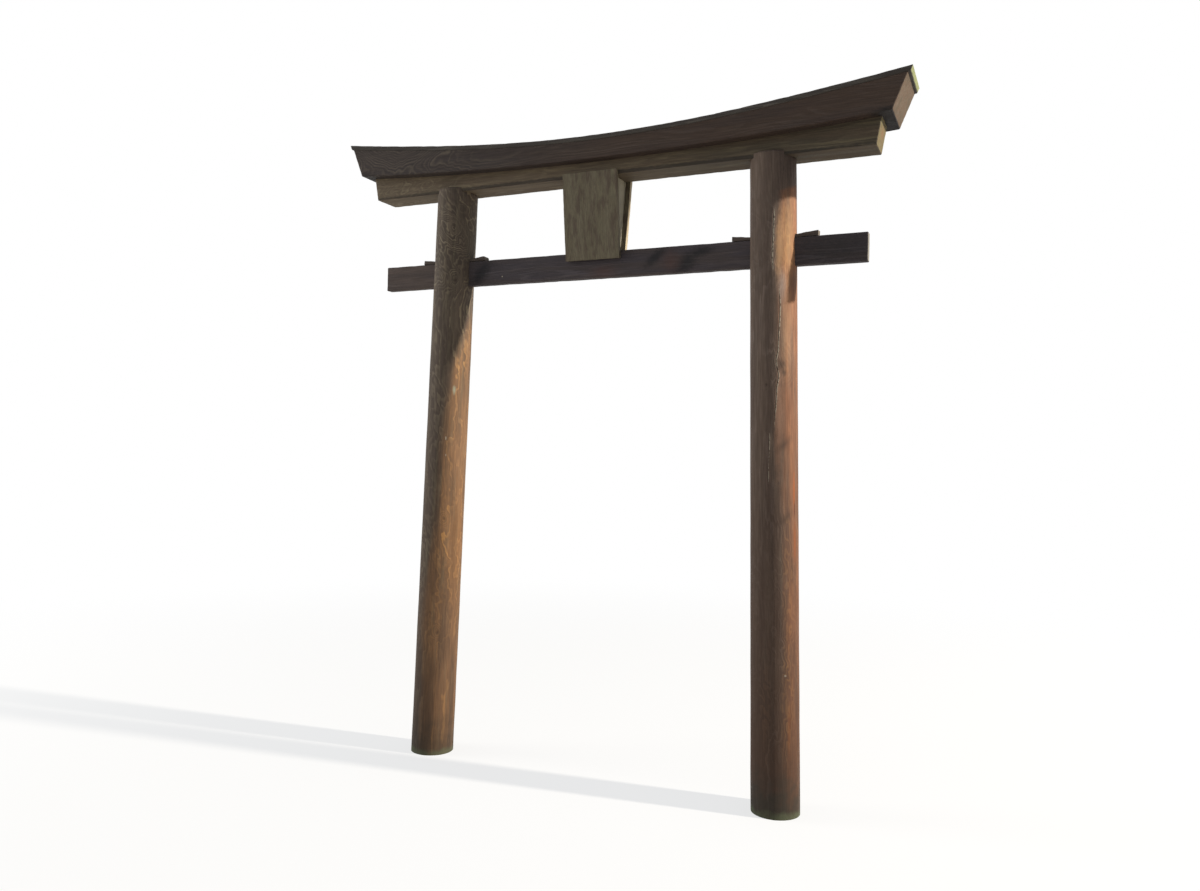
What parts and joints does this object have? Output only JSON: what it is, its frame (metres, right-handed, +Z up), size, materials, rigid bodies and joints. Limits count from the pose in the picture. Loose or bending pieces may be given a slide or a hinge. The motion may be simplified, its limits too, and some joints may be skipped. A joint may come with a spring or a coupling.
{
  "type": "torii gate",
  "caption": "Stained timber torii gate: inward-leaning round pillars, wedged tie beam, bowed double lintel with a cap board, and a central strut with leaning boards.",
  "frame": {"origin": "centre of the left pillar's flat foot, seen from the front, at ground level", "axes": "+X from the left pillar to the right pillar, +Y from the front to the rear, +Z up"},
  "size_m": [3.0192, 0.28, 3.3374],
  "materials": {
    "pillar_wood": "dark oil-stained softwood log, weathered, checked",
    "tie_beam_wood": "dark stained planed plank",
    "wedge_wood": "stained sawn softwood",
    "lower_lintel_wood": "stained planed timber, weathered grey-brown",
    "upper_lintel_wood": "dark stained planed timber with cathedral grain",
    "cap_wood": "weathered board, pale sawn ends",
    "strut_wood": "stained timber, weathered grey",
    "board_wood": "stained board with upright grain, weathered"
  },
  "bodies": {
    "root": {"left_pillar": "pillar_wood", "right_pillar": "pillar_wood", "tie_beam": "tie_beam_wood", "wedge_left_outer": "wedge_wood", "wedge_left_inner": "wedge_wood", "wedge_right_inner": "wedge_wood", "wedge_right_outer": "wedge_wood", "lower_lintel": "lower_lintel_wood", "upper_lintel": "upper_lintel_wood", "cap_board": "cap_wood", "strut": "strut_wood", "front_board": "board_wood", "rear_board": "board_wood"}
  },
  "joints": []
}
